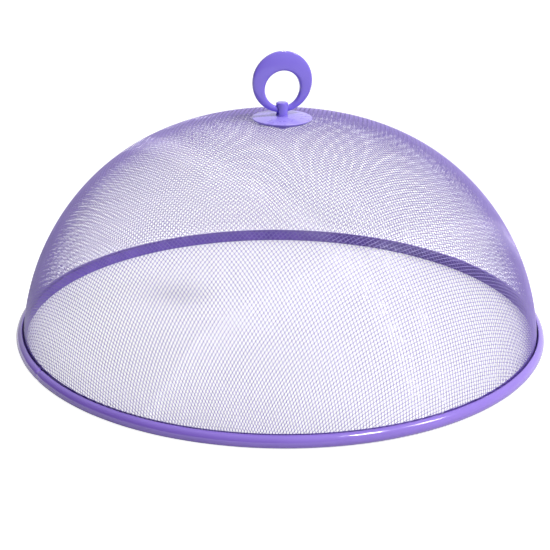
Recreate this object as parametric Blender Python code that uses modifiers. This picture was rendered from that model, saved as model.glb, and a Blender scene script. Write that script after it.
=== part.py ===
"""A mesh food cover: a dome of woven wire cloth in a rolled steel rim, lifted by a folding finger ring.

Metres, +Z up. The origin is the centre of the rim, on the table that the cover stands on.
The finger ring stands up in the XZ plane and folds flat to either side about an axis along X.
Run it with: blender --background --python part.py
"""

import math

import bmesh
import bpy
import numpy as np

# Overall sizes
rim_diameter = 0.350
dome_height = 0.1420
finger_ring_diameter = 0.0391
rosette_diameter = 0.0384
backing_diameter = 0.0300

# Gaps between pieces that touch, and round the ring as it swings
seat_gap = 0.0003
slot_gap = 0.0003
swing_gap = 0.0003
cut_overrun = 0.001

# Wire cloth. The real cloth has a wire every 2 mm, and each strand here holds the metal of twelve of them
wire_diameter = 0.00032
warp_pitch = 0.00220
weft_pitch = 0.00206
wires_in_strand = 12
cloth_turn = math.radians(21.5)
flank_power = 2.434
crown_power = 1.778
profile_samples = 4000
fitting_rounds = 8
short_strand_share = 0.3

# Rolled steel rim, and the wire hoop inside it
strip_thickness = 0.0005
rim_height = 0.0080
bead_middle_height = 0.0038
outer_lip_angle = math.radians(84)
inner_corner_radius = 0.0008
inner_lip_height = 0.0068
hoop_diameter = 0.0024
hoop_play = 0.0005
bead_points = 5
corner_points = 3
rim_steps = 64
hoop_sides = 6

# Rosette under the finger ring
rosette_foot_height = 0.0008
rosette_brim_thickness = 0.0008
rosette_brim_width = 0.0034
rosette_rise = 0.0010
rosette_edge_radius = 0.0004
rosette_wall = 0.0012
rosette_land_width = 0.0024
rosette_crown_points = 5
rosette_edge_points = 4
turned_steps = 48

# Round post that the finger ring hangs in
post_diameter = 0.0078
post_head_thickness = 0.0018
post_head_radius = 0.0010
post_crown_rise = 0.0002
post_foot_width = 0.0005
post_foot_height = 0.0005
post_barb = 0.0005
post_barb_length = 0.0020
post_tip_thickness = 0.0008
post_head_points = 4
bore_sides = 24

# Finger ring, wide at the top and thin where it hangs in the post
finger_hole_diameter = 0.0232
ring_thin_width = 0.0037
ring_thin_depth = 0.0036
ring_top_depth = 0.0056
ring_thin_power = 2.0
ring_top_power = 4.0
ring_flat_gap = 0.0012
ring_lift = 0.0004
ring_steps = 48
ring_section_points = 12

# Backing plate inside the dome
backing_thickness = 0.0012
backing_edge_bevel = 0.0003

# Round edges and welds
edge_segments = 2
sharp_angle = math.radians(40)
weld_distance = 0.00001

# Places in the rim that follow from the sizes above. A strand or a facet runs straight, inside its curve, and
# the flank's curve is about as wide as the dome is high
rim_radius = rim_diameter / 2
warp_strand_pitch = warp_pitch * wires_in_strand
weft_strand_pitch = weft_pitch * wires_in_strand
strand_thickness = wire_diameter * math.sqrt(wires_in_strand * math.pi / 2)
facet_inset = rim_radius * (1 - math.cos(math.pi / rim_steps))
hoop_inset = strip_thickness + seat_gap + hoop_diameter / 2
hoop_radius = rim_radius - hoop_inset - hoop_play
bead_width = hoop_inset + hoop_play + hoop_diameter / 2 + seat_gap
cloth_radius = rim_radius - bead_width - facet_inset - strand_thickness / 2
strand_inset = warp_strand_pitch**2 / (8 * dome_height)
cloth_edge_height = strip_thickness + seat_gap + strand_thickness / 2


def dome_radius(height):
    """Radius of the dome at a height: a flattened circle, steep at the rim and gently round on top."""
    share = min(height / dome_height, 1)
    return cloth_radius * (1 - share**crown_power) ** (1 / flank_power)


def dome_level(radius):
    """Height of the dome at a radius."""
    share = min(radius / cloth_radius, 1)
    return dome_height * (1 - share**flank_power) ** (1 / crown_power)


# Places in the handle. The plates clamp the four strands round the middle gap, where the legs go through
middle_strand_height = dome_level(math.hypot(warp_strand_pitch, weft_strand_pitch) / 2)
rosette_base = middle_strand_height + strand_thickness / 2 + seat_gap
brim_base = rosette_base + rosette_foot_height
rosette_top = brim_base + rosette_brim_thickness + rosette_rise
backing_top = middle_strand_height - strand_thickness / 2 - seat_gap
backing_base = backing_top - backing_thickness

# Places in the hinge. The ring turns in the post's bore, whose legs are as wide as the post's round outline lets
# them be, and the ring's own curve rises across them. Folded flat, the ring stays clear of the rosette
post_radius = post_diameter / 2
ring_sweep = max(ring_thin_width, ring_thin_depth) / 2
leg_half_width = math.sqrt(post_radius**2 - (ring_sweep + swing_gap) ** 2)
bore_radius = ring_sweep + swing_gap + leg_half_width**2 / finger_hole_diameter
ring_pivot_z = rosette_top + ring_flat_gap + ring_top_depth / 2
bore_height = ring_pivot_z + ring_lift
post_top = bore_height + bore_radius + post_head_thickness

# Paint and plastic colours, as linear values
violet_paint = (0.23, 0.16, 0.66)
violet_cloth = (0.27, 0.21, 0.62)
violet_gloss = (0.28, 0.20, 0.80)
bare_steel = (0.55, 0.55, 0.57)


def clear_scene():
    for thing in list(bpy.data.objects):
        bpy.data.objects.remove(thing, do_unlink=True)
    for group in list(bpy.data.collections):
        bpy.data.collections.remove(group)


def new_group(name):
    group = bpy.data.collections.new(name)
    bpy.context.scene.collection.children.link(group)
    return group


def new_finish(name, colour, roughness, metallic):
    material = bpy.data.materials.new(name)
    material.use_nodes = True
    shader = material.node_tree.nodes["Principled BSDF"]
    shader.inputs["Base Color"].default_value = (*colour, 1.0)
    shader.inputs["Roughness"].default_value = roughness
    shader.inputs["Metallic"].default_value = metallic
    return material


def new_piece(name, data, group, finish):
    piece = bpy.data.objects.new(name, data)
    piece.data.materials.append(finish)
    group.objects.link(piece)
    return piece


def mesh_of(name, builder):
    mesh = bpy.data.meshes.new(name)
    builder.to_mesh(mesh)
    builder.free()
    return mesh


def new_torus(name, major_radius, minor_radius, major_segments, minor_segments, group, finish):
    bpy.ops.mesh.primitive_torus_add(
        major_radius=major_radius,
        minor_radius=minor_radius,
        major_segments=major_segments,
        minor_segments=minor_segments,
    )
    piece = bpy.context.active_object
    for owner in list(piece.users_collection):
        owner.objects.unlink(piece)
    group.objects.link(piece)
    piece.name = name
    piece.data.name = name
    piece.data.materials.append(finish)
    piece.data.shade_smooth()
    return piece


def line_mesh(name, points):
    """A line in the XZ plane, ready to be turned round Z."""
    mesh = bpy.data.meshes.new(name)
    mesh.from_pydata([(x, 0, z) for x, z in points], [(k, k + 1) for k in range(len(points) - 1)], [])
    return mesh


def turn_profile(piece, steps):
    screw = piece.modifiers.new("turn", "SCREW")
    screw.angle = 2 * math.pi
    screw.steps = steps
    screw.render_steps = steps
    screw.use_merge_vertices = True
    screw.merge_threshold = weld_distance
    screw.use_smooth_shade = True


def round_edges(piece, width):
    bevel = piece.modifiers.new("round_edges", "BEVEL")
    bevel.width = width
    bevel.segments = edge_segments
    bevel.limit_method = "ANGLE"
    bevel.angle_limit = sharp_angle


def cut(piece, cutter):
    boolean = piece.modifiers.new("cut_" + cutter.name, "BOOLEAN")
    boolean.operation = "DIFFERENCE"
    boolean.object = cutter


def new_cutter(name, builder, group):
    cutter = bpy.data.objects.new(name, mesh_of(name, builder))
    cutter.hide_render = True
    cutter.display_type = "WIRE"
    group.objects.link(cutter)
    return cutter


def box_cutter(name, low, high, group):
    box = bmesh.new()
    bmesh.ops.create_cube(box, size=1)
    bmesh.ops.scale(box, vec=[b - a for a, b in zip(low, high)], verts=box.verts)
    bmesh.ops.translate(box, vec=[(a + b) / 2 for a, b in zip(low, high)], verts=box.verts)
    return new_cutter(name, box, group)


def round_cutter(name, radius, length, sides, group):
    """A round bar along Z, with its middle at the origin."""
    bar = bmesh.new()
    bmesh.ops.create_cone(bar, cap_ends=True, segments=sides, radius1=radius, radius2=radius, depth=length)
    return new_cutter(name, bar, group)


def arc(centre, across, up, start, end, count):
    """Points along an ellipse between two angles, which are counted from the outward direction."""
    return [
        (centre[0] + across * math.cos(angle), centre[1] + up * math.sin(angle))
        for angle in np.linspace(start, end, count)
    ]


def dome_meridian(step, count):
    """Points at equal steps along the dome's profile, from its top down, then straight down past the rim."""
    slant = np.linspace(math.pi / 2, 0, profile_samples)
    radius = cloth_radius * np.abs(np.cos(slant)) ** (2 / flank_power)
    height = dome_height * np.sin(slant) ** (2 / crown_power)
    radius[0] = 0
    radius = np.append(radius, cloth_radius)
    height = np.append(height, -step * count)
    along = np.append(0, np.cumsum(np.hypot(np.diff(radius), np.diff(height))))
    wanted = step * np.arange(count)
    return np.stack([np.interp(wanted, along, radius), np.interp(wanted, along, height)], axis=1)


def dome_field(points):
    """A field that is zero on the dome, and its slope. Below the table the dome is a straight wall."""
    radius = np.hypot(points[:, 0], points[:, 1])
    height = np.maximum(points[:, 2], 0)
    field = (radius / cloth_radius) ** flank_power + (height / dome_height) ** crown_power - 1
    outward = flank_power * (radius / cloth_radius) ** (flank_power - 1) / cloth_radius
    upward = crown_power * (height / dome_height) ** (crown_power - 1) / dome_height
    slope = np.stack([outward * points[:, 0] / radius, outward * points[:, 1] / radius, upward], axis=1)
    return field, slope


def cloth_crossings(count):
    """Where strands cross, at half pitches, from the middle of the cloth out to one corner.

    Pressing doesn't stretch the wires, it only turns the two sets towards each other. So each crossing lies one
    half pitch from the crossing before it on either strand, and on the dome. Newton's method solves these three
    conditions for a whole diagonal row of crossings at a time.
    """
    along_warp = weft_strand_pitch / 2
    along_weft = warp_strand_pitch / 2
    places = np.zeros((count, count, 3))
    places[:, 0, [0, 2]] = dome_meridian(along_warp, count)
    places[0, :, [1, 2]] = dome_meridian(along_weft, count).T
    for row in range(2, 2 * count - 1):
        i = np.arange(max(1, row - count + 1), min(count - 1, row - 1) + 1)
        j = row - i
        beside = places[i - 1, j]
        below = places[i, j - 1]
        place = beside + below - places[i - 1, j - 1]
        near = place[:, 2] > -weft_strand_pitch
        guess, beside, below = place[near], beside[near], below[near]
        for _ in range(fitting_rounds):
            field, slope = dome_field(guess)
            warp_miss = ((guess - beside) ** 2).sum(axis=1) - along_warp**2
            weft_miss = ((guess - below) ** 2).sum(axis=1) - along_weft**2
            misses = np.stack([warp_miss, weft_miss, field], axis=1)
            rates = np.stack([2 * (guess - beside), 2 * (guess - below), slope], axis=1)
            guess = guess - np.linalg.solve(rates, misses[:, :, None])[:, :, 0]
        place[near] = guess
        places[i, j] = place
    return places


def make_cloth(group):
    """The pressed cloth: a grid of strands with open gaps, draped on the dome and trimmed level in the rim."""
    reach = dome_meridian(weft_strand_pitch, profile_samples)
    strands = 2 * int((reach[:, 1] > 0).sum()) + 3
    crossings = cloth_crossings(strands + 1)
    sheet = bmesh.new()
    bmesh.ops.create_grid(sheet, x_segments=strands, y_segments=strands, size=strands / 2)
    for corner in sheet.verts:
        x, y, z = crossings[round(2 * abs(corner.co.x)), round(2 * abs(corner.co.y))]
        if abs(z - cloth_edge_height) < short_strand_share * weft_strand_pitch:
            z = cloth_edge_height
        corner.co = (math.copysign(x, corner.co.x), math.copysign(y, corner.co.y), z)
    bmesh.ops.bisect_plane(
        sheet,
        geom=sheet.verts[:] + sheet.edges[:] + sheet.faces[:],
        dist=weld_distance,
        plane_co=(0, 0, cloth_edge_height),
        plane_no=(0, 0, 1),
        clear_inner=True,
    )
    edge_radius = dome_radius(cloth_edge_height)
    for corner in sheet.verts:
        if corner.co.z < cloth_edge_height + weld_distance:
            corner.co.xy *= edge_radius / corner.co.xy.length
    finish = new_finish("cloth_paint", violet_cloth, 0.45, 0.3)
    cloth = new_piece("mesh_dome", mesh_of("mesh_dome", sheet), group, finish)
    cloth.rotation_euler.z = cloth_turn
    lattice = cloth.modifiers.new("strands", "WIREFRAME")
    lattice.thickness = strand_thickness
    lattice.use_boundary = True
    lattice.use_even_offset = True
    lattice.offset = 0


def make_rim(group):
    """The steel strip: a rolled bead outside, flat underneath, turned up inside, open where the cloth enters."""
    bead_centre = (rim_radius - bead_width, bead_middle_height)
    upper_bead = rim_height - bead_middle_height
    cloth_inside = dome_radius(inner_lip_height) - strand_thickness / 2 - strand_inset
    inner_radius = cloth_inside - seat_gap - strip_thickness
    corner_centre = (inner_radius + inner_corner_radius, inner_corner_radius)
    profile = arc(bead_centre, bead_width, upper_bead, outer_lip_angle, 0, bead_points)
    profile += arc(bead_centre, bead_width, bead_middle_height, 0, -math.pi / 2, bead_points)[1:]
    profile += arc(corner_centre, inner_corner_radius, inner_corner_radius, -math.pi / 2, -math.pi, corner_points)
    profile += [(inner_radius, inner_lip_height)]
    finish = new_finish("rim_paint", violet_paint, 0.25, 0)
    rim = new_piece("rim_channel", line_mesh("rim_channel", profile), group, finish)
    turn_profile(rim, rim_steps)
    strip = rim.modifiers.new("strip", "SOLIDIFY")
    strip.thickness = strip_thickness
    strip.offset = -1
    strip.use_even_offset = True


def make_hoop(group):
    """The wire hoop that the strip is rolled round. It lies in the bead, between its wall and the cloth."""
    out_share = 1 - hoop_play / (bead_width - hoop_inset)
    drop = (bead_middle_height - hoop_inset) * math.sqrt(1 - out_share**2)
    finish = new_finish("hoop_steel", bare_steel, 0.35, 1)
    hoop = new_torus("rim_hoop", hoop_radius, hoop_diameter / 2, rim_steps, hoop_sides, group, finish)
    hoop.location.z = bead_middle_height - drop


def cut_leg_holes(piece, low, high, cutters):
    """Two holes for the post's legs: a round hole, with a web of the plate left across its middle."""
    length = high - low + 2 * cut_overrun
    holes = round_cutter(piece.name + "_leg_holes", post_radius + slot_gap, length, turned_steps, cutters)
    holes.location.z = (low + high) / 2
    half_web = bore_radius - slot_gap
    web = box_cutter(
        piece.name + "_web",
        (-post_diameter, -half_web, low - 2 * cut_overrun),
        (post_diameter, half_web, high + 2 * cut_overrun),
        cutters,
    )
    cut(holes, web)
    cut(piece, holes)


def rosette_crown(radius):
    """Height of the rosette's top: a shallow parabola from the rounded edge to the middle."""
    flat_radius = rosette_diameter / 2 - rosette_edge_radius
    return rosette_top - rosette_rise * (radius / flat_radius) ** 2


def make_rosette(group, cutters):
    """The round plate under the ring: gently domed, with a thin brim, hollow below and standing on a land."""
    outer = rosette_diameter / 2
    flat_radius = outer - rosette_edge_radius
    brim_top = brim_base + rosette_brim_thickness
    land_outer = outer - rosette_brim_width
    land_inner = land_outer - rosette_land_width
    crown_radii = np.linspace(0, flat_radius, rosette_crown_points)
    hollow_radii = np.linspace(land_inner, 0, rosette_crown_points)
    edge_centre = (flat_radius, brim_top - rosette_edge_radius)
    profile = [(radius, rosette_crown(radius)) for radius in crown_radii]
    profile += arc(edge_centre, rosette_edge_radius, rosette_edge_radius, math.pi / 2, 0, rosette_edge_points)[1:]
    profile += [(outer, brim_base), (land_outer, brim_base), (land_outer, rosette_base), (land_inner, rosette_base)]
    profile += [(radius, rosette_crown(radius) - rosette_wall) for radius in hollow_radii]
    finish = new_finish("rosette_gloss", violet_gloss, 0.15, 0)
    rosette = new_piece("rosette", line_mesh("rosette", profile), group, finish)
    turn_profile(rosette, turned_steps)
    cut_leg_holes(rosette, rosette_base, rosette_top, cutters)


def make_backing(group, cutters):
    """The plate inside the dome. It clamps the cloth to the rosette, and the post's legs snap through it."""
    disc = bmesh.new()
    bmesh.ops.create_cone(
        disc,
        cap_ends=True,
        segments=turned_steps,
        radius1=backing_diameter / 2,
        radius2=backing_diameter / 2,
        depth=backing_thickness,
    )
    finish = new_finish("backing_plastic", violet_gloss, 0.3, 0)
    plate = new_piece("backing_plate", mesh_of("backing_plate", disc), group, finish)
    plate.location.z = (backing_base + backing_top) / 2
    round_edges(plate, backing_edge_bevel)
    cut_leg_holes(plate, backing_base, backing_top, cutters)


def make_post(group, cutters):
    """The round post over the thin part of the ring: turned, then bored along X and slotted from below.

    The slot leaves a barbed leg in front and one behind. The ring goes in through it before the post is pressed home.
    """
    shoulder_height = rosette_crown(post_radius) + seat_gap
    catch_height = backing_base - seat_gap
    tip_height = catch_height - post_barb_length
    foot_radius = post_radius + post_foot_width
    head_centre = (post_radius - post_head_radius, post_top - post_crown_rise - post_head_radius)
    profile = [(0, post_top)]
    profile += arc(head_centre, post_head_radius, post_head_radius, math.pi / 2, 0, post_head_points)
    profile += [
        (post_radius, shoulder_height + post_foot_height),
        (foot_radius, shoulder_height + post_foot_height / 2),
        (foot_radius, shoulder_height),
        (post_radius, shoulder_height),
        (post_radius, catch_height),
        (post_radius + post_barb, catch_height),
        (bore_radius + post_tip_thickness, tip_height),
        (0, tip_height),
    ]
    finish = new_finish("post_gloss", violet_gloss, 0.18, 0)
    post = new_piece("hinge_post", line_mesh("hinge_post", profile), group, finish)
    turn_profile(post, turned_steps)
    slot_end = foot_radius + cut_overrun
    bore = round_cutter("ring_bore", bore_radius, 2 * slot_end, bore_sides, cutters)
    bore.rotation_euler.y = math.pi / 2
    bore.location.z = bore_height
    slot = box_cutter(
        "ring_slot",
        (-slot_end, -bore_radius, tip_height - cut_overrun),
        (slot_end, bore_radius, bore_height),
        cutters,
    )
    cut(post, bore)
    cut(post, slot)


def make_finger_ring(group):
    """The closed ring: a round hole set low in a round outline, with flat faces at the top and a round thin part.

    Its mesh has its origin in the middle of the thin part, on the axis that the ring folds about.
    """
    outer = finger_ring_diameter / 2
    hole = finger_hole_diameter / 2
    hole_drop = outer - hole - ring_thin_width
    centre_height = outer - ring_thin_width / 2
    finish = new_finish("ring_gloss", violet_gloss, 0.15, 0)
    ring = new_torus("handle_ring", 1, 1 / 4, ring_steps, ring_section_points, group, finish)
    for number, corner in enumerate(ring.data.vertices):
        round_ring = 2 * math.pi * (number // ring_section_points) / ring_steps
        round_section = 2 * math.pi * (number % ring_section_points) / ring_section_points
        down = -math.sin(round_ring)
        hole_edge = hole_drop * down + math.sqrt(hole**2 - (hole_drop * math.cos(round_ring)) ** 2)
        half_width = (outer - hole_edge) / 2
        thin_share = (1 + down) / 2
        half_depth = (ring_top_depth + (ring_thin_depth - ring_top_depth) * thin_share) / 2
        power = ring_top_power + (ring_thin_power - ring_top_power) * thin_share
        across = math.copysign(abs(math.cos(round_section)) ** (2 / power), math.cos(round_section))
        deep = math.copysign(abs(math.sin(round_section)) ** (2 / power), math.sin(round_section))
        radius = outer - half_width + half_width * across
        corner.co = (
            radius * math.cos(round_ring),
            radius * math.sin(round_ring) + centre_height,
            half_depth * deep,
        )
    ring.location.z = ring_pivot_z
    ring.rotation_euler.x = math.pi / 2


def make_cover():
    clear_scene()
    pieces = new_group("mesh_food_cover")
    cutters = new_group("cutters")
    make_cloth(pieces)
    make_rim(pieces)
    make_hoop(pieces)
    make_rosette(pieces, cutters)
    make_backing(pieces, cutters)
    make_post(pieces, cutters)
    make_finger_ring(pieces)


make_cover()
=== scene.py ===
"""Looks of the mesh food cover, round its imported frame: woven wire cloth, rolled rim and finger ring."""
import math

import bpy
import numpy as np
from mathutils import Matrix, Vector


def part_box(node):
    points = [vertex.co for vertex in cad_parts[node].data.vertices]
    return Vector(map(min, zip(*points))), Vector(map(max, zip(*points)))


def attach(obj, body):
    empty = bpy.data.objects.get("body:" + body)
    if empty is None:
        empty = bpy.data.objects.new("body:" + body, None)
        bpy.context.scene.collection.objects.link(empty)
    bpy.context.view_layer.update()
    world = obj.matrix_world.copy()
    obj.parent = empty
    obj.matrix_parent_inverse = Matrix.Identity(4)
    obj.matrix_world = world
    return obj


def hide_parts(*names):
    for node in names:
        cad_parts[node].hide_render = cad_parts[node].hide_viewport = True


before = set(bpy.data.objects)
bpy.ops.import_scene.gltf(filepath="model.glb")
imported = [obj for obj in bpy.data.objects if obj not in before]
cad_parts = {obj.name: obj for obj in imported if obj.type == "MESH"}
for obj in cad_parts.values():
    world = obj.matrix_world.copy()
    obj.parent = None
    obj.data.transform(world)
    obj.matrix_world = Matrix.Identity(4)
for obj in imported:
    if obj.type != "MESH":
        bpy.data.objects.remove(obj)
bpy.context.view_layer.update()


# Wire cloth
# The dome is one round blank of plain-woven steel wire, pressed over a former and then dipped in violet
# paint. Pressing turns the two sets of wires towards each other, so the meshes are diamonds on the flanks.
rim_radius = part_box("rim_channel")[1].x
cloth_inset = 0.0050
cloth_radius = rim_radius - cloth_inset
dome_height = 0.1420
flank_power = 2.434
crown_power = 1.778
wire_diameter = 0.00032
warp_pitch = 0.00220
weft_pitch = 0.00206
cloth_turn = math.radians(21.5)
wire_end_height = 0.0022
leg_hole_radius = 0.0053
wire_sides = 5
profile_samples = 4000
fitting_rounds = 5
cloth_light = (0.305, 0.215, 0.685, 1)
cloth_dark = (0.245, 0.16, 0.605, 1)
cloth_coat_ior = 2.0
noise_reach = (0.3, 0.7)


def dome_meridian(step, count):
    """Points at equal steps down the profile, a flattened circle r^a + z^b = 1, then straight down."""
    slant = np.linspace(math.pi / 2, 0, profile_samples)
    radius = cloth_radius * np.abs(np.cos(slant)) ** (2 / flank_power)
    height = dome_height * np.sin(slant) ** (2 / crown_power)
    radius[0] = 0
    radius = np.append(radius, cloth_radius)
    height = np.append(height, -step * count)
    along = np.append(0, np.cumsum(np.hypot(np.diff(radius), np.diff(height))))
    wanted = step * np.arange(count)
    return np.stack([np.interp(wanted, along, radius), np.interp(wanted, along, height)], axis=1)


def dome_field(points):
    """The profile's equation, zero on the dome, and its slope. Below the table it is a straight wall."""
    radius = np.hypot(points[..., 0], points[..., 1])
    height = np.maximum(points[..., 2], 0)
    field = (radius / cloth_radius) ** flank_power + (height / dome_height) ** crown_power - 1
    outward = flank_power * (radius / cloth_radius) ** (flank_power - 1) / cloth_radius
    upward = crown_power * (height / dome_height) ** (crown_power - 1) / dome_height
    slope = np.stack([
        outward * points[..., 0] / radius,
        outward * points[..., 1] / radius,
        upward,
    ], axis=-1)
    return field, slope


def cloth_quarter(count):
    """Places on a quarter of the dome at half pitches, counted from the top along the warp and the weft.

    Wires bend but don't stretch, so each place is one half pitch from the two before it, and lies on the
    dome. Newton's method solves these three conditions for a whole diagonal row of places at a time.
    """
    along_warp = weft_pitch / 2
    along_weft = warp_pitch / 2
    places = np.zeros((count, count, 3))
    places[:, 0, [0, 2]] = dome_meridian(along_warp, count)
    places[0, :, [1, 2]] = dome_meridian(along_weft, count).T
    for row in range(2, 2 * count - 1):
        i = np.arange(max(1, row - count + 1), min(count - 1, row - 1) + 1)
        j = row - i
        beside = places[i - 1, j]
        below = places[i, j - 1]
        place = beside + below - places[i - 1, j - 1]
        near = place[:, 2] > -2 * weft_pitch
        guess, beside, below = place[near], beside[near], below[near]
        for _ in range(fitting_rounds):
            field, slope = dome_field(guess)
            warp_miss = ((guess - beside) ** 2).sum(axis=1) - along_warp**2
            weft_miss = ((guess - below) ** 2).sum(axis=1) - along_weft**2
            misses = np.stack([warp_miss, weft_miss, field], axis=1)
            rates = np.stack([2 * (guess - beside), 2 * (guess - below), slope], axis=1)
            guess = guess - np.linalg.solve(rates, misses[:, :, None])[:, :, 0]
        place[near] = guess
        places[i, j] = place
    return places


def woven_crossings():
    """Every crossing of the cloth, its outward direction, and +1 where the warp is outside, or else -1."""
    length = dome_meridian(weft_pitch / 2, profile_samples)
    count = 2 * (int((length[:, 1] > 0).sum()) // 2) + 4
    quarter = cloth_quarter(count)
    steps = np.arange(1 - count, count, 2)
    i, j = np.meshgrid(steps, steps, indexing="ij")
    crossings = quarter[abs(i), abs(j)] * np.stack([np.sign(i), np.sign(j), np.ones_like(i)], axis=-1)
    slope = dome_field(crossings)[1]
    outward = slope / np.linalg.norm(slope, axis=-1, keepdims=True)
    over = 1 - (i + j) // 2 % 2 * 2
    turn = np.array([
        [math.cos(cloth_turn), math.sin(cloth_turn), 0],
        [-math.sin(cloth_turn), math.cos(cloth_turn), 0],
        [0, 0, 1],
    ])
    return crossings @ turn, outward @ turn, over[..., None]


def new_mesh_piece(name, points, faces, material):
    mesh = bpy.data.meshes.new(name)
    mesh.from_pydata(points, [], faces)
    mesh.shade_smooth()
    mesh.materials.append(material)
    piece = bpy.data.objects.new(name, mesh)
    bpy.context.scene.collection.objects.link(piece)
    return piece


def wire_piece(name, paths, outward, material):
    """Wires as tubes. Each row of paths is one wire, with a ring of points round it at every crossing.

    A ring is the crossing plus the wire's radius times cos and sin of equal angles along two directions
    square to the wire. A wire is kept above the end height, where its last ring is moved to lie, and
    outside the hole punched for the handle's legs. Its ends are capped.
    """
    paths = paths.copy()
    inside = paths[:, :, 2] > wire_end_height
    kept = inside.copy()
    for step in (1, -1):
        beside = np.roll(paths, step, axis=1)
        ends = np.roll(inside, step, axis=1) & ~inside
        share = (wire_end_height - paths[ends, 2]) / (beside[ends, 2] - paths[ends, 2])
        paths[ends] += share[:, None] * (beside[ends] - paths[ends])
        kept |= ends
    kept &= np.hypot(paths[:, :, 0], paths[:, :, 1]) > leg_hole_radius
    along = np.gradient(paths, axis=1)
    along /= np.linalg.norm(along, axis=-1, keepdims=True)
    across = np.cross(along, outward)
    across /= np.linalg.norm(across, axis=-1, keepdims=True)
    square = np.cross(across, along)
    angle = 2 * math.pi * np.arange(wire_sides) / wire_sides
    rings = paths[:, :, None] + wire_diameter / 2 * (
        np.cos(angle)[:, None] * square[:, :, None] + np.sin(angle)[:, None] * across[:, :, None]
    )
    first = np.cumsum(kept.ravel()).reshape(kept.shape) * wire_sides - wire_sides
    joined = kept[:, :-1] & kept[:, 1:]
    low = first[:, :-1][joined][:, None] + np.arange(wire_sides)
    high = first[:, 1:][joined][:, None] + np.arange(wire_sides)
    quads = np.stack([low, np.roll(low, -1, axis=1), np.roll(high, -1, axis=1), high], axis=-1)
    starts = kept & ~np.roll(kept, 1, axis=1)
    stops = kept & ~np.roll(kept, -1, axis=1)
    caps = np.concatenate([
        first[starts][:, None] + np.arange(wire_sides)[::-1],
        first[stops][:, None] + np.arange(wire_sides),
    ])
    faces = quads.reshape(-1, 4).tolist() + caps.tolist()
    return new_mesh_piece(name, rings[kept].reshape(-1, 3), faces, material)


def new_node(tree, kind, **settings):
    node = tree.nodes.new(kind)
    for key, value in settings.items():
        setattr(node, key, value)
    return node


def new_ramp(tree, reach=(0, 1), levels=(0, 1), **settings):
    """A node that takes the reach to the levels, and stays at them beyond its ends."""
    ramp = new_node(tree, "ShaderNodeMapRange", **settings)
    ramp.inputs["From Min"].default_value = reach[0]
    ramp.inputs["From Max"].default_value = reach[1]
    ramp.inputs["To Min"].default_value = levels[0]
    ramp.inputs["To Max"].default_value = levels[1]
    return ramp


def make_uneven_finish():
    """Node group: colour in soft patches, roughness in finer ones, and a slight ripple of the surface."""
    group = bpy.data.node_groups.new("uneven_finish", "ShaderNodeTree")
    for name, kind, default in (
        ("Light Colour", "NodeSocketColor", (1, 1, 1, 1)),
        ("Dark Colour", "NodeSocketColor", (0, 0, 0, 1)),
        ("Patches per Metre", "NodeSocketFloat", 60),
        ("Low Roughness", "NodeSocketFloat", 0.2),
        ("High Roughness", "NodeSocketFloat", 0.3),
        ("Ripples per Metre", "NodeSocketFloat", 400),
        ("Ripple Height", "NodeSocketFloat", 0.0001),
    ):
        group.interface.new_socket(name, in_out="INPUT", socket_type=kind).default_value = default
    group.interface.new_socket("Colour", in_out="OUTPUT", socket_type="NodeSocketColor")
    group.interface.new_socket("Roughness", in_out="OUTPUT", socket_type="NodeSocketFloat")
    group.interface.new_socket("Normal", in_out="OUTPUT", socket_type="NodeSocketVector")
    given = new_node(group, "NodeGroupInput")
    place = new_node(group, "ShaderNodeTexCoord")
    patches = new_node(group, "ShaderNodeTexNoise")
    spread = new_ramp(group, noise_reach)
    blend = new_node(group, "ShaderNodeMix", data_type="RGBA")
    ripples = new_node(group, "ShaderNodeTexNoise")
    gloss = new_ramp(group, noise_reach)
    bump = new_node(group, "ShaderNodeBump")
    result = new_node(group, "NodeGroupOutput")
    bump.inputs["Strength"].default_value = 1
    link = group.links.new
    link(place.outputs["Object"], patches.inputs["Vector"])
    link(given.outputs["Patches per Metre"], patches.inputs["Scale"])
    link(patches.outputs["Fac"], spread.inputs["Value"])
    link(spread.outputs["Result"], blend.inputs["Factor"])
    link(given.outputs["Dark Colour"], blend.inputs["A"])
    link(given.outputs["Light Colour"], blend.inputs["B"])
    link(place.outputs["Object"], ripples.inputs["Vector"])
    link(given.outputs["Ripples per Metre"], ripples.inputs["Scale"])
    link(ripples.outputs["Fac"], gloss.inputs["Value"])
    link(given.outputs["Low Roughness"], gloss.inputs["To Min"])
    link(given.outputs["High Roughness"], gloss.inputs["To Max"])
    link(ripples.outputs["Fac"], bump.inputs["Height"])
    link(given.outputs["Ripple Height"], bump.inputs["Distance"])
    link(blend.outputs["Result"], result.inputs["Colour"])
    link(gloss.outputs["Result"], result.inputs["Roughness"])
    link(bump.outputs["Normal"], result.inputs["Normal"])
    return group


uneven_finish = make_uneven_finish()


def new_finish(name, light, dark, patches, roughness, ripples, ripple_height, metallic=0, coat=0):
    """A Principled material whose colour, roughness and normal come from the uneven finish."""
    material = bpy.data.materials.new(name)
    material.use_nodes = True
    tree = material.node_tree
    shader = tree.nodes["Principled BSDF"]
    shader.inputs["Metallic"].default_value = metallic
    shader.inputs["Coat Weight"].default_value = coat
    uneven = new_node(tree, "ShaderNodeGroup", node_tree=uneven_finish)
    values = {
        "Light Colour": light,
        "Dark Colour": dark,
        "Patches per Metre": patches,
        "Low Roughness": roughness[0],
        "High Roughness": roughness[1],
        "Ripples per Metre": ripples,
        "Ripple Height": ripple_height,
    }
    for key, value in values.items():
        uneven.inputs[key].default_value = value
    tree.links.new(uneven.outputs["Colour"], shader.inputs["Base Color"])
    tree.links.new(uneven.outputs["Roughness"], shader.inputs["Roughness"])
    tree.links.new(uneven.outputs["Normal"], shader.inputs["Normal"])
    return material


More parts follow.
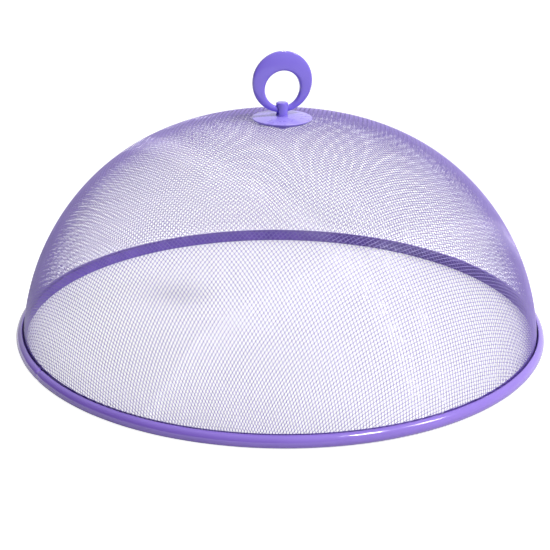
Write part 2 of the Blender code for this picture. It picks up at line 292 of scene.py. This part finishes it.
def make_cloth():
    crossings, outward, over = woven_crossings()
    paint = new_finish(
        "cloth_paint", cloth_light, cloth_dark,
        patches=45, roughness=(0.28, 0.45), ripples=900, ripple_height=0.00003, coat=1,
    )
    paint.node_tree.nodes["Principled BSDF"].inputs["Coat IOR"].default_value = cloth_coat_ior
    lift = outward * over * wire_diameter / 2
    warp = (crossings + lift).swapaxes(0, 1)
    weft = crossings - lift
    middle = len(warp) // 2
    halves = {
        "warp_wires_left": (warp[:middle], outward.swapaxes(0, 1)[:middle]),
        "warp_wires_right": (warp[middle:], outward.swapaxes(0, 1)[middle:]),
        "weft_wires_left": (weft[:middle], outward[:middle]),
        "weft_wires_right": (weft[middle:], outward[middle:]),
    }
    for name, (paths, directions) in halves.items():
        wires = wire_piece(name, paths, directions, paint)
        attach(wires, "cover")
        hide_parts("mesh_dome")


make_cloth()


# Rim hoop
# A ring of drawn steel wire, welded end to end, that the rim strip is rolled round to keep it circular. Its
# steel stays bare, and only a sliver of it shows in the gap between the rim and the cloth.
hoop_low, hoop_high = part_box("rim_hoop")
hoop_wire_radius = (hoop_high.z - hoop_low.z) / math.sqrt(3)
hoop_radius = hoop_high.x - hoop_wire_radius
hoop_height = (hoop_low.z + hoop_high.z) / 2
hoop_steps = 288
hoop_sides = 14
steel_light = (0.56, 0.56, 0.58, 1)
steel_dark = (0.42, 0.42, 0.44, 1)


def grid_faces(rows, columns, wrap_rows, wrap_columns):
    """The quads of a grid of points, joined past its last row or column where it wraps."""
    index = np.arange(rows * columns).reshape(rows, columns)
    if wrap_rows:
        index = np.concatenate([index, index[:1]])
    if wrap_columns:
        index = np.concatenate([index, index[:, :1]], axis=1)
    quads = np.stack([index[:-1, :-1], index[1:, :-1], index[1:, 1:], index[:-1, 1:]], axis=-1)
    return quads.reshape(-1, 4)


def turned(section, angle):
    """A section of radius and height turned round Z: x = r sin(angle), y = -r cos(angle), front at zero."""
    across = section[..., 0]
    up = np.broadcast_to(section[..., 1], np.broadcast_shapes(across.shape, angle.shape))
    return np.stack([across * np.sin(angle), -across * np.cos(angle), up], axis=-1)


def make_hoop():
    """A torus: the wire's circle, hoop radius + w cos(t) and height + w sin(t), turned round Z."""
    round_wire = 2 * math.pi * np.arange(hoop_sides) / hoop_sides
    section = np.stack([
        hoop_radius + hoop_wire_radius * np.cos(round_wire),
        hoop_height + hoop_wire_radius * np.sin(round_wire),
    ], axis=-1)
    angle = 2 * math.pi * np.arange(hoop_steps) / hoop_steps
    points = turned(section[None], angle[:, None])
    steel = new_finish(
        "hoop_steel", steel_light, steel_dark,
        patches=120, roughness=(0.28, 0.42), ripples=1500, ripple_height=0.00001, metallic=1,
    )
    faces = grid_faces(hoop_steps, hoop_sides, True, True)
    hoop = new_mesh_piece("hoop_wire", points.reshape(-1, 3), faces, steel)
    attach(hoop, "cover")
    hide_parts("rim_hoop")


make_hoop()


# Rolled rim
# A strip of sheet steel, hemmed and rolled into a bead outside, flat underneath and turned up inside the
# cloth. Its two ends butt together on the left, where the hem has a small notch. It is sprayed with gloss
# enamel. Its inner wall and the inside of its roll are painted shade: a darker, rougher copy of that enamel.
strip_thickness = 0.0005
rim_height = 0.0080
bead_width = 0.0040
bead_middle_height = 0.0038
hem_start = math.radians(80)
hem_turn = math.radians(130)
hem_radius = 0.00045
inner_wall_inset = 0.0060
inner_wall_radius = rim_radius - inner_wall_inset
inner_corner_radius = 0.0008
inner_wall_height = 0.0074
hem_points = 12
bead_points = 34
corner_points = 6
wall_points = 4
cap_points = 5
rim_steps = 448
joint_steps = 14
joint_angle = math.radians(-75.5)
joint_gap = 0.0002
joint_reach = 0.005
notch_depth = 0.0011
notch_reach = 0.0014
dent_depth = 0.0002
dent_reach = 0.0022
notch_power = 4
waviness = 0.00002
rim_waves = ((7, 1), (19, 2), (43, 0))
sharp_angle = math.radians(40)
enamel_light = (0.272, 0.162, 0.695, 1)
enamel_dark = (0.250, 0.147, 0.655, 1)
# Painted shade: a darker copy of the enamel for the rim's inner wall and the inside of its roll.
painted_shade_light = (0.210, 0.115, 0.600, 1)
painted_shade_dark = (0.145, 0.078, 0.480, 1)


def arc(centre, across, up, start, end, count):
    """Points along an ellipse between two angles: centre plus across cos(t) and up sin(t)."""
    turn = np.linspace(start, end, count)
    return np.stack([centre[0] + across * np.cos(turn), centre[1] + up * np.sin(turn)], axis=-1)


def rim_path():
    """The middle of the strip, from the top of its inner wall down, out, round the bead and into the hem."""
    half = strip_thickness / 2
    bead_radius = rim_radius - bead_width
    wall_radius = inner_wall_radius - half
    corner = (wall_radius + inner_corner_radius, half + inner_corner_radius)
    middle = (bead_radius, bead_middle_height)
    wide = bead_width - half
    high = rim_height - bead_middle_height - half
    low = bead_middle_height - half
    wall_heights = np.linspace(inner_wall_height - half, corner[1], wall_points)[:-1]
    wall = np.stack([np.full(wall_points - 1, wall_radius), wall_heights], axis=-1)
    inner = inner_corner_radius
    turned_in = arc(corner, inner, inner, -math.pi, -math.pi / 2, corner_points)
    lower = arc(middle, wide, low, -math.pi / 2, 0, bead_points)
    upper = arc(middle, wide, high, 0, hem_start, bead_points)[1:]
    slope = np.array([math.cos(hem_start) / wide, math.sin(hem_start) / high])
    slope /= np.linalg.norm(slope)
    hem_centre = upper[-1] - hem_radius * slope
    first = math.atan2(slope[1], slope[0])
    hem = arc(hem_centre, hem_radius, hem_radius, first, first + hem_turn, hem_points)[1:]
    return np.concatenate([wall, turned_in, lower, upper, hem])


def strip_section(path):
    """The strip's outline: its path moved half the thickness to either side, with round ends."""
    along = np.gradient(path, axis=0)
    along /= np.linalg.norm(along, axis=1, keepdims=True)
    normal = np.stack([along[:, 1], -along[:, 0]], axis=1)
    half = strip_thickness / 2
    turn = np.linspace(0, math.pi, cap_points + 2)[1:-1, None]
    last = path[-1] + half * (np.cos(turn) * normal[-1] + np.sin(turn) * along[-1])
    first = path[0] - half * (np.cos(turn) * normal[0] + np.sin(turn) * along[0])
    return np.concatenate([path + half * normal, last, (path - half * normal)[::-1], first])


def make_rim():
    """The strip's outline carried round Z, from just past the joint to just before it.

    Near the joint the radius dips by a dent and the hem by a notch, each times exp(-(distance / reach)^2),
    and all round the radius waves by a few hundredths of a millimetre.
    """
    section = strip_section(rim_path())
    fine = joint_reach / rim_radius
    gap = joint_gap / 2 / rim_radius
    near = np.linspace(gap, fine, joint_steps)
    rest = np.linspace(fine, 2 * math.pi - fine, rim_steps)[1:-1]
    round_rim = np.concatenate([near, rest, 2 * math.pi - near[::-1]])
    distance = np.minimum(round_rim, 2 * math.pi - round_rim) * rim_radius
    angle = round_rim + joint_angle
    dent = dent_depth * np.exp(-((distance / dent_reach) ** 2))
    ripple = sum(np.sin(count * angle + phase) for count, phase in rim_waves)
    wave = waviness * (ripple - len(rim_waves))
    above = (section[:, 1] - bead_middle_height) / (rim_height - bead_middle_height)
    hem_share = np.clip(above, 0, 1) ** notch_power
    hem_share[section[:, 0] < inner_wall_radius + strip_thickness] = 0
    notch = notch_depth * np.exp(-((distance / notch_reach) ** 2))
    outside = section[:, 0] > rim_radius - bead_width
    radius = section[:, 0] + (wave - dent)[:, None] * outside
    height = section[:, 1] - notch[:, None] * hem_share
    points = turned(np.stack([radius, height], axis=-1), angle[:, None])
    rows, columns = len(angle), len(section)
    faces = grid_faces(rows, columns, False, True).tolist()
    faces += [list(range(columns))[::-1], list(range((rows - 1) * columns, rows * columns))]
    enamel = new_finish(
        "rim_enamel", enamel_light, enamel_dark,
        patches=30, roughness=(0.10, 0.18), ripples=260, ripple_height=0.00002, coat=0.8,
    )
    # Painted shade: the darker, rougher copy of the enamel.
    painted_shade_enamel = new_finish(
        "painted_shade_enamel", painted_shade_light, painted_shade_dark,
        patches=90, roughness=(0.3, 0.5), ripples=700, ripple_height=0.00003,
    )
    rim = new_mesh_piece("rolled_rim", points.reshape(-1, 3), faces, enamel)
    rim.data.materials.append(painted_shade_enamel)
    # Faces that take the painted shade: the inner wall, its corner, the strip's inner side and the wall's
    # top edge.
    painted_shade_faces = np.zeros(columns, int)
    painted_shade_faces[:wall_points + corner_points] = 1
    painted_shade_faces[len(rim_path()) + cap_points:] = 1
    slots = np.append(np.tile(painted_shade_faces, rows - 1), [0, 0])
    rim.data.polygons.foreach_set("material_index", slots)
    rim.data.set_sharp_from_angle(angle=sharp_angle)
    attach(rim, "cover")
    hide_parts("rim_channel")


make_rim()


# Backing plate
# A plain moulded disc inside the dome that clamps the cloth up against the rosette. The post's two legs
# snap through its holes, and it has a duller surface than the pieces on top.
post_low, post_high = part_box("hinge_post")
ring_low, ring_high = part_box("handle_ring")
plate_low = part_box("backing_plate")[0]
post_radius = 0.0039
bore_radius = 0.002606
leg_gap = 0.0003
plate_radius = 0.0095
plate_edge_radius = 0.0004
plate_drop = 0.00060
plate_top = dome_height - plate_drop
turned_steps = 144
edge_points = 6
crown_points = 12
cut_overrun = 0.001
plastic_light = (0.222, 0.155, 0.770, 1)
plastic_dark = (0.200, 0.136, 0.730, 1)


def turned_solid(name, profile, material):
    """A closed body: a profile of radius and height, from the axis's foot to its top, turned round Z."""
    angle = 2 * math.pi * np.arange(turned_steps) / turned_steps
    rings = turned(profile[None, 1:-1], angle[:, None])
    count = len(profile) - 2
    index = np.arange(turned_steps * count).reshape(turned_steps, count)
    after = np.roll(index, -1, axis=0)
    foot = turned_steps * count
    low_fan = np.stack([np.full(turned_steps, foot), after[:, 0], index[:, 0]], axis=-1)
    high_fan = np.stack([index[:, -1], after[:, -1], np.full(turned_steps, foot + 1)], axis=-1)
    poles = [[0, 0, profile[0, 1]], [0, 0, profile[-1, 1]]]
    points = np.concatenate([rings.reshape(-1, 3), poles])
    faces = grid_faces(turned_steps, count, True, False).tolist()
    faces += low_fan.tolist() + high_fan.tolist()
    return new_mesh_piece(name, points, faces, material)


def prism(name, outline, low, high, axis, material):
    """A flat outline carried straight from one place to another along an axis, with both ends closed."""
    count = len(outline)
    points = np.zeros((2, count, 3))
    points[:, :, axis] = np.array([[low], [high]])
    points[:, :, [k for k in range(3) if k != axis]] = outline
    faces = grid_faces(2, count, False, True)[:, ::-1].tolist()
    faces += [list(range(count))[::-1], list(range(count, 2 * count))]
    return new_mesh_piece(name, points.reshape(-1, 3), faces, material)


def cut_away(piece, cutter):
    """Takes the cutter's shape out of the piece, for good, and removes the cutter."""
    boolean = piece.modifiers.new("cut", "BOOLEAN")
    boolean.operation = "DIFFERENCE"
    boolean.object = cutter
    graph = bpy.context.evaluated_depsgraph_get()
    cut = bpy.data.meshes.new_from_object(piece.evaluated_get(graph))
    piece.modifiers.clear()
    piece.data = cut
    bpy.data.objects.remove(cutter)


def cut_leg_holes(piece, low, high):
    """A round hole for the post's legs, with a web of the piece left across its middle.

    The hole is turned by half a step, so that none of its corners lies on an edge of the piece.
    """
    material = piece.data.materials[0]
    hole_radius = post_radius + leg_gap
    profile = np.array([
        [0, low - cut_overrun],
        [hole_radius, low - cut_overrun],
        [hole_radius, high + cut_overrun],
        [0, high + cut_overrun],
    ])
    holes = turned_solid("leg_holes", profile, material)
    holes.data.transform(Matrix.Rotation(math.pi / turned_steps, 4, "Z"))
    half = bore_radius - leg_gap
    reach = 2 * post_radius
    outline = np.array([[-reach, -half], [reach, -half], [reach, half], [-reach, half]])
    web = prism("web", outline, low - 2 * cut_overrun, high + 2 * cut_overrun, 2, material)
    cut_away(holes, web)
    cut_away(piece, holes)
    piece.data.set_sharp_from_angle(angle=sharp_angle)


def make_backing():
    flat = plate_radius - plate_edge_radius
    low_edge = (flat, plate_low.z + plate_edge_radius)
    high_edge = (flat, plate_top - plate_edge_radius)
    profile = np.concatenate([
        [[0, plate_low.z]],
        arc(low_edge, plate_edge_radius, plate_edge_radius, -math.pi / 2, 0, edge_points),
        arc(high_edge, plate_edge_radius, plate_edge_radius, 0, math.pi / 2, edge_points),
        [[0, plate_top]],
    ])
    plastic = new_finish(
        "backing_plastic", plastic_light, plastic_dark,
        patches=60, roughness=(0.30, 0.42), ripples=700, ripple_height=0.00004,
    )
    plate = turned_solid("backing_disc", profile, plastic)
    cut_leg_holes(plate, plate_low.z, plate_top)
    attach(plate, "cover")
    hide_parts("backing_plate")


make_backing()


# Rosette
# The round plate under the ring, moulded in glossy violet plastic. Its colour is paler than that of the
# ring and post, a painted reflection of its white surroundings. Its crown is a shallow dome, its thin
# brim stands off the cloth, and a land inside the brim rests on the wires.
rosette_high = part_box("rosette")[1]
rosette_radius = rosette_high.x
rosette_top = rosette_high.z
rosette_rise = 0.0012
rosette_edge_radius = 0.0005
rosette_under_radius = 0.0002
brim_thickness = 0.0007
brim_width = 0.0018
land_width = 0.0052
land_lift = 0.00016
land_base = dome_height + land_lift
rosette_wall = 0.0012
# Lighter than the plastic of the ring and post: a painted reflection of white surroundings.
rosette_painted_sheen_light = (0.390, 0.310, 0.900, 1)
rosette_painted_sheen_dark = (0.350, 0.275, 0.860, 1)


def rosette_crown(radius):
    """Height of the rosette's top: a parabola from the middle down to the rounded edge."""
    return rosette_top - rosette_rise * (radius / (rosette_radius - rosette_edge_radius)) ** 2


def make_rosette():
    """The rosette's section, from its hollow underside, over the land and the brim, to its crown."""
    flat = rosette_radius - rosette_edge_radius
    brim_top = rosette_top - rosette_rise
    brim_base = brim_top - brim_thickness
    land_outer = rosette_radius - brim_width
    land_inner = land_outer - land_width
    hollow_radius = np.linspace(0, land_inner, crown_points)
    crown_radius = np.linspace(flat, 0, 2 * crown_points)[1:]
    under_edge = (rosette_radius - rosette_under_radius, brim_base + rosette_under_radius)
    top_edge = (flat, brim_top - rosette_edge_radius)
    profile = np.concatenate([
        np.stack([hollow_radius, rosette_crown(hollow_radius) - rosette_wall], axis=-1),
        [[land_inner, land_base], [land_outer, land_base], [land_outer, brim_base]],
        arc(under_edge, rosette_under_radius, rosette_under_radius, -math.pi / 2, 0, edge_points),
        arc(top_edge, rosette_edge_radius, rosette_edge_radius, 0, math.pi / 2, edge_points),
        np.stack([crown_radius, rosette_crown(crown_radius)], axis=-1),
    ])
    gloss = new_finish(
        "rosette_gloss", rosette_painted_sheen_light, rosette_painted_sheen_dark,
        patches=50, roughness=(0.24, 0.34), ripples=240, ripple_height=0.00002, coat=0.1,
    )
    rosette = turned_solid("rosette_disc", profile, gloss)
    cut_leg_holes(rosette, land_base, rosette_top)
    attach(rosette, "cover")
    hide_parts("rosette")


make_rosette()


# Hinge post
# A round glossy moulding pressed down through the rosette, the cloth and the backing plate. It is bored
# across for the ring and slotted from below, and the two legs that leaves end in barbs under the plate.
post_head_radius = 0.0011
post_crown_rise = 0.00025
post_foot_width = 0.0005
post_foot_height = 0.0008
post_barb = 0.0005
post_tip_thickness = 0.0008
post_seat_gap = 0.0001
ring_thin_width = 0.0037
ring_lift = 0.0004
bore_height = ring_low.z + ring_thin_width / 2 + ring_lift
bore_points = 48


def make_post():
    """The post's section turned round Z, less a bore along X that runs on downwards as a slot."""
    shoulder = rosette_crown(post_radius) + post_seat_gap
    catch = plate_low.z - post_seat_gap
    tip = post_low.z
    foot_radius = post_radius + post_foot_width
    head_centre = (post_radius - post_head_radius, post_high.z - post_crown_rise - post_head_radius)
    foot_centre = (foot_radius, shoulder + post_foot_height)
    profile = np.concatenate([
        [[0, tip], [bore_radius + post_tip_thickness, tip], [post_radius + post_barb, catch]],
        [[post_radius, catch], [post_radius, shoulder], [foot_radius, shoulder]],
        arc(foot_centre, post_foot_width, post_foot_height, -math.pi / 2, -math.pi, edge_points)[1:],
        arc(head_centre, post_head_radius, post_head_radius, 0, math.pi / 2, 2 * edge_points),
        [[0, post_high.z]],
    ])
    gloss = new_finish(
        "post_gloss", plastic_light, plastic_dark,
        patches=90, roughness=(0.09, 0.15), ripples=500, ripple_height=0.00001, coat=0.3,
    )
    post = turned_solid("moulded_post", profile, gloss)
    roof = arc((0, bore_height), bore_radius, bore_radius, 0, math.pi, bore_points)
    slot_end = tip - cut_overrun
    outline = np.concatenate([roof, [[-bore_radius, slot_end], [bore_radius, slot_end]]])
    reach = foot_radius + cut_overrun
    cut_away(post, prism("ring_bore", outline, -reach, reach, 0, gloss))
    post.data.set_sharp_from_angle(angle=sharp_angle)
    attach(post, "cover")
    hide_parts("hinge_post")


make_post()


# Finger ring
# The closed ring that lifts the cover, moulded in the same glossy violet plastic. Its round hole is set low,
# so the top is a wide flat crescent and the bottom is thin and round where it hangs in the post.
hole_radius = 0.0116
ring_thin_depth = 0.0036
ring_thin_power = 2.0
ring_top_power = 7.0
ring_top_taper = 0.60
ring_steps = 224
ring_sides = 96


def make_ring():
    """The ring's surface, by the angle u round the ring and the angle v round its section.

    At u the section reaches from the hole's circle, whose centre is lower, to the outer circle. Across it
    runs a = cos(v)^(2/p) and deep sin(v)^(2/p) (1 - c (1 + a)^2 / 4), each with its sign. The power p, the
    taper c towards the outer circle and the depth change from the wide top to the thin bottom with
    (1 - sin(u)) / 2.
    """
    outer = (ring_high.z - ring_low.z) / 2
    top_depth = ring_high.y - ring_low.y
    middle = (ring_high.z + ring_low.z) / 2
    drop = outer - hole_radius - ring_thin_width
    u = (2 * math.pi * np.arange(ring_steps) / ring_steps)[:, None]
    v = (2 * math.pi * np.arange(ring_sides) / ring_sides)[None]
    thin_share = (1 - np.sin(u)) / 2
    hole_edge = -drop * np.sin(u) + np.sqrt(hole_radius**2 - (drop * np.cos(u)) ** 2)
    half_width = (outer - hole_edge) / 2
    half_depth = (top_depth + (ring_thin_depth - top_depth) * thin_share) / 2
    power = ring_top_power + (ring_thin_power - ring_top_power) * thin_share
    across = np.sign(np.cos(v)) * np.abs(np.cos(v)) ** (2 / power)
    taper = ring_top_taper * (1 - thin_share)
    deep = np.sign(np.sin(v)) * np.abs(np.sin(v)) ** (2 / power) * (1 - taper * (1 + across) ** 2 / 4)
    radius = outer - half_width + half_width * across
    points = np.stack([radius * np.cos(u), -half_depth * deep, middle + radius * np.sin(u)], axis=-1)
    gloss = new_finish(
        "ring_gloss", plastic_light, plastic_dark,
        patches=45, roughness=(0.10, 0.18), ripples=260, ripple_height=0.00002, coat=0.5,
    )
    faces = grid_faces(ring_steps, ring_sides, True, True)
    ring = new_mesh_piece("moulded_ring", points.reshape(-1, 3), faces, gloss)
    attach(ring, "finger_ring")
    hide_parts("handle_ring")


make_ring()


# Stage, light and camera
# A white table and a white room that is bright on the right and dim on the left. A broad sun-like key lamp
# stands high at the front right, and a small soft box further right. The camera looks down at the cover's
# front and is rolled slightly. The table's glow is fitted to the photo and is painted light and shade: it is
# dimmer under the cover, and brighter round the rim, where it lifts the cover's shadow.
camera_turn = math.radians(-17)
camera_height = math.radians(23.45)
camera_distance = 0.901
camera_pitch = math.radians(21.3)
camera_aside = math.radians(0.258)
camera_roll = math.radians(0.4)
lens_length = 87.3
key_turn = math.radians(35)
key_height = math.radians(58)
key_spread = math.radians(10)
key_strength = 0.50 * math.pi
box_turn = math.radians(55)
box_height = math.radians(45)
box_distance = 1.5
box_size = 0.26
box_power = 5.0
bright_turn = math.radians(100)
bright_height = math.radians(25)
bright_reach = (-0.7, 0.6)
room_light = (0.01, 0.80)
room_mirrored = (0.03, 1)
floor_half_width = 4
floor_colour = (0.65, 0.65, 0.65, 1)
# Painted shade: the glow inside the rim is lower than outside, and lower still on the left.
painted_shade_glow = (0.39, 0.495)
floor_glow_reach = (-0.12, -0.01)
# Reflections see none of the glow at the rim: painted shade next to the rim in them.
reflected_glow = 0.60
reflected_reach = (rim_radius - 0.0030, rim_radius + 0.0300)
# Painted light: outside the rim the glow is higher on the left and next to the rim, lifting the cover's
# shadow.
painted_light_outer_glow = (0.62, 0.47)
painted_light_rim_glow = 0.30
rim_glow_reach = (rim_radius - 0.0040, 0.22)


def around(turn, height, distance):
    return (
        distance * math.sin(turn) * math.cos(height),
        -distance * math.cos(turn) * math.cos(height),
        distance * math.sin(height),
    )


def make_floor():
    """The table, matt white, with a glow that only the camera and reflections see.

    The glow isn't even, and its unevenness is painted light and shade. It is dim inside the rim, painted
    shade under the cover, and dimmer there on the left. It steps up just inside the rim's edge and fades
    from there, and outside the rim it is higher on the left: painted light that lifts the cover's shadow.
    Reflections see a share of it that rises from none at the rim, a painted shade next to the rim in them.
    """
    side = floor_half_width
    mesh = bpy.data.meshes.new("floor")
    corners = [(-side, -side, 0), (side, -side, 0), (side, side, 0), (-side, side, 0)]
    mesh.from_pydata(corners, [], [(0, 1, 2, 3)])
    floor = bpy.data.objects.new("floor", mesh)
    bpy.context.scene.collection.objects.link(floor)
    material = bpy.data.materials.new("floor_white")
    material.use_nodes = True
    tree = material.node_tree
    shader = tree.nodes["Principled BSDF"]
    shader.inputs["Base Color"].default_value = floor_colour
    shader.inputs["Roughness"].default_value = 1
    shader.inputs["Specular IOR Level"].default_value = 0
    shader.inputs["Emission Color"].default_value = (1, 1, 1, 1)
    place = new_node(tree, "ShaderNodeTexCoord")
    distance = new_node(tree, "ShaderNodeVectorMath", operation="LENGTH")
    outside = new_node(tree, "ShaderNodeMath", operation="GREATER_THAN")
    # Painted light near the rim, painted shade inside it, both varying from left to right.
    fade = new_ramp(tree, rim_glow_reach, (painted_light_rim_glow, 0), interpolation_type="SMOOTHSTEP")
    toward = new_node(tree, "ShaderNodeVectorMath", operation="DOT_PRODUCT")
    inside = new_ramp(tree, floor_glow_reach, painted_shade_glow)
    beyond = new_ramp(tree, floor_glow_reach, painted_light_outer_glow)
    around_rim = new_node(tree, "ShaderNodeMath", operation="ADD")
    level = new_node(tree, "ShaderNodeMix", data_type="FLOAT")
    path = new_node(tree, "ShaderNodeLightPath")
    mirrored = new_ramp(tree, reflected_reach, (0, reflected_glow))
    seen = new_node(tree, "ShaderNodeMath", operation="MULTIPLY_ADD")
    glow = new_node(tree, "ShaderNodeMath", operation="MULTIPLY")
    outside.inputs[1].default_value = rim_glow_reach[0]
    toward.inputs[1].default_value = around(bright_turn, 0, 1)
    link = tree.links.new
    link(place.outputs["Object"], distance.inputs[0])
    link(distance.outputs["Value"], outside.inputs[0])
    link(distance.outputs["Value"], fade.inputs["Value"])
    link(outside.outputs["Value"], level.inputs["Factor"])
    link(place.outputs["Object"], toward.inputs[0])
    link(toward.outputs["Value"], inside.inputs["Value"])
    link(inside.outputs["Result"], level.inputs["A"])
    link(toward.outputs["Value"], beyond.inputs["Value"])
    link(beyond.outputs["Result"], around_rim.inputs[0])
    link(fade.outputs["Result"], around_rim.inputs[1])
    link(around_rim.outputs["Value"], level.inputs["B"])
    link(path.outputs["Is Glossy Ray"], seen.inputs[0])
    link(distance.outputs["Value"], mirrored.inputs["Value"])
    link(mirrored.outputs["Result"], seen.inputs[1])
    link(path.outputs["Is Camera Ray"], seen.inputs[2])
    link(seen.outputs["Value"], glow.inputs[0])
    link(level.outputs["Result"], glow.inputs[1])
    link(glow.outputs["Value"], shader.inputs["Emission Strength"])
    mesh.materials.append(material)


def make_room():
    """The world: plain white to the camera. For all else it is bright on the right and dim on the left."""
    world = bpy.data.worlds.new("room")
    world.use_nodes = True
    tree = world.node_tree
    background = tree.nodes["Background"]
    background.inputs["Color"].default_value = (1, 1, 1, 1)
    place = new_node(tree, "ShaderNodeTexCoord")
    path = new_node(tree, "ShaderNodeLightPath")
    toward = new_node(tree, "ShaderNodeVectorMath", operation="DOT_PRODUCT")
    side = new_ramp(tree, bright_reach, interpolation_type="SMOOTHSTEP")
    lit = new_ramp(tree, levels=room_light)
    mirrored = new_ramp(tree, levels=room_mirrored)
    shiny = new_node(tree, "ShaderNodeMath", operation="ADD")
    unseen = new_node(tree, "ShaderNodeMix", data_type="FLOAT")
    strength = new_node(tree, "ShaderNodeMix", data_type="FLOAT")
    toward.inputs[1].default_value = around(bright_turn, bright_height, 1)
    strength.inputs["B"].default_value = 1
    link = tree.links.new
    link(place.outputs["Generated"], toward.inputs[0])
    link(toward.outputs["Value"], side.inputs["Value"])
    link(side.outputs["Result"], lit.inputs["Value"])
    link(side.outputs["Result"], mirrored.inputs["Value"])
    link(path.outputs["Is Glossy Ray"], shiny.inputs[0])
    link(path.outputs["Is Transmission Ray"], shiny.inputs[1])
    link(shiny.outputs["Value"], unseen.inputs["Factor"])
    link(lit.outputs["Result"], unseen.inputs["A"])
    link(mirrored.outputs["Result"], unseen.inputs["B"])
    link(path.outputs["Is Camera Ray"], strength.inputs["Factor"])
    link(unseen.outputs["Result"], strength.inputs["A"])
    link(strength.outputs["Result"], background.inputs["Strength"])
    bpy.context.scene.world = world


def new_lamp(name, kind, turn, height, distance, energy):
    lamp = bpy.data.objects.new(name, bpy.data.lights.new(name, kind))
    lamp.data.energy = energy
    lamp.location = around(turn, height, distance)
    lamp.rotation_euler = (math.pi / 2 - height, 0, turn)
    bpy.context.scene.collection.objects.link(lamp)
    return lamp


make_floor()
make_room()
key_lamp = new_lamp("key_lamp", "SUN", key_turn, key_height, box_distance, key_strength)
key_lamp.data.angle = key_spread
soft_box = new_lamp("soft_box", "AREA", box_turn, box_height, box_distance, box_power)
soft_box.data.size = box_size

camera = bpy.data.objects.new("camera", bpy.data.cameras.new("camera"))
camera.data.lens = lens_length
camera.location = around(camera_turn, camera_height, camera_distance)
camera.rotation_euler = (math.pi / 2 - camera_pitch, 0, camera_turn + camera_aside)
camera.rotation_euler.rotate_axis("Z", camera_roll)
bpy.context.scene.collection.objects.link(camera)
bpy.context.scene.camera = camera
bpy.context.scene.view_settings.view_transform = "Standard"
